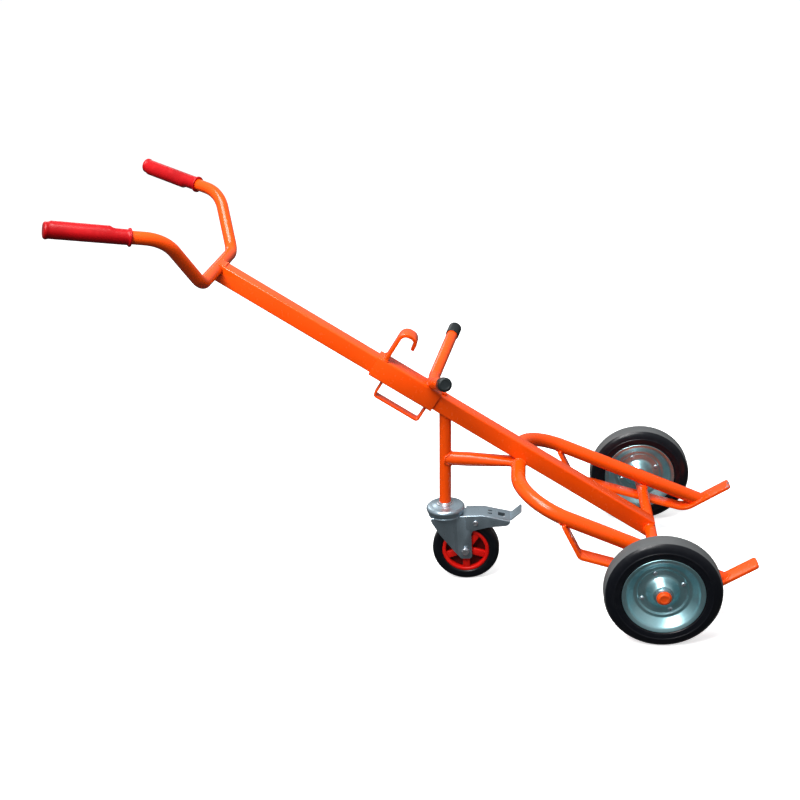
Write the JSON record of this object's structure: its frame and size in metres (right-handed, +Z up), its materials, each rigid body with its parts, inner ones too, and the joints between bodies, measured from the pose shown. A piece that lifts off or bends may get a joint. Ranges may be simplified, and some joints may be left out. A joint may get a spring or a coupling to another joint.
{
  "type": "drum hand truck",
  "caption": "Steel drum truck: sloping spine with handlebar and grips, sliding chime hook and cradle, toe bars, main wheels and a braked swivel castor.",
  "frame": {"origin": "on the floor, midway between the two main wheels, under their axle", "axes": "+X forwards to the toes, +Y to the left, +Z up; the truck stands as it does on its three wheels"},
  "size_m": [1.4229, 0.7246, 0.9956],
  "materials": {
    "orange_paint": "glossy powder coat",
    "red_grip": "satin moulded",
    "black_cap": "satin moulded",
    "tyre_rubber": "matt",
    "rim_zinc": "bright zinc plate",
    "castor_zinc": "zinc plate",
    "plain_steel": "zinc plate",
    "orange_cap": "gloss",
    "castor_rubber": "matt",
    "red_nylon": "satin moulded"
  },
  "bodies": {
    "frame": {"axle_cap_left": "orange_cap", "axle_cap_right": "orange_cap", "axle_shaft": "plain_steel", "axle_tube": "orange_paint", "bow_tube": "orange_paint", "castor_post": "orange_paint", "foot_bar_left": "orange_paint", "foot_bar_right": "orange_paint", "grip_left": "red_grip", "grip_right": "red_grip", "handlebar": "orange_paint", "hub_spacers": "plain_steel", "kingpin": "plain_steel", "post_brace": "orange_paint", "post_plug": "plain_steel", "spine_tube": "orange_paint", "stop_bolt": "orange_paint", "thrust_washers": "plain_steel", "upper_race": "castor_zinc"},
    "carriage": {"sleeve": "orange_paint", "chime_hook": "orange_paint", "crossbar": "orange_paint", "crossbar_cap_right": "black_cap", "crossbar_cap_left": "black_cap", "strap_handle": "orange_paint"},
    "wheel_left": {"tyre_left": "tyre_rubber", "rim_outer_left": "rim_zinc", "rim_inner_left": "rim_zinc", "hub_tube_left": "rim_zinc", "roller_bearing_left": "plain_steel", "rim_rivets_left": "rim_zinc"},
    "wheel_right": {"tyre_right": "tyre_rubber", "rim_outer_right": "rim_zinc", "rim_inner_right": "rim_zinc", "hub_tube_right": "rim_zinc", "roller_bearing_right": "plain_steel", "rim_rivets_right": "rim_zinc"},
    "castor": {"castor_fork": "castor_zinc", "lower_race": "castor_zinc", "swivel_balls": "plain_steel", "castor_bolt": "plain_steel", "castor_nut": "plain_steel", "castor_bush": "plain_steel", "pedal_rivets": "plain_steel"},
    "castor_wheel": {"castor_tyre": "castor_rubber", "castor_hub": "red_nylon"},
    "pedal": {"brake_pedal": "castor_zinc", "brake_shoe": "castor_rubber"}
  },
  "joints": [
    {"name": "carriage_slide", "type": "slide", "parent": "frame", "child": "carriage", "axis": [-0.8192, 0, 0.5736], "range_m": [0, 0.375]},
    {"name": "wheel_left_spin", "type": "hinge", "parent": "frame", "child": "wheel_left", "pos_m": [0, 0.3, 0.125], "axis": [0, 1, 0], "continuous": true},
    {"name": "wheel_right_spin", "type": "hinge", "parent": "frame", "child": "wheel_right", "pos_m": [0, -0.3, 0.125], "axis": [0, 1, 0], "continuous": true},
    {"name": "castor_swivel", "type": "hinge", "parent": "frame", "child": "castor", "pos_m": [-0.478, 0, 0.19], "axis": [0, 0, 1], "continuous": true},
    {"name": "castor_wheel_spin", "type": "hinge", "parent": "castor", "child": "castor_wheel", "pos_m": [-0.435, 0, 0.08], "axis": [0, 1, 0], "continuous": true},
    {"name": "brake_pedal_tilt", "type": "hinge", "parent": "castor", "child": "pedal", "pos_m": [-0.407, 0, 0.156], "axis": [0, 1, 0], "range_deg": [0, 8]}
  ]
}
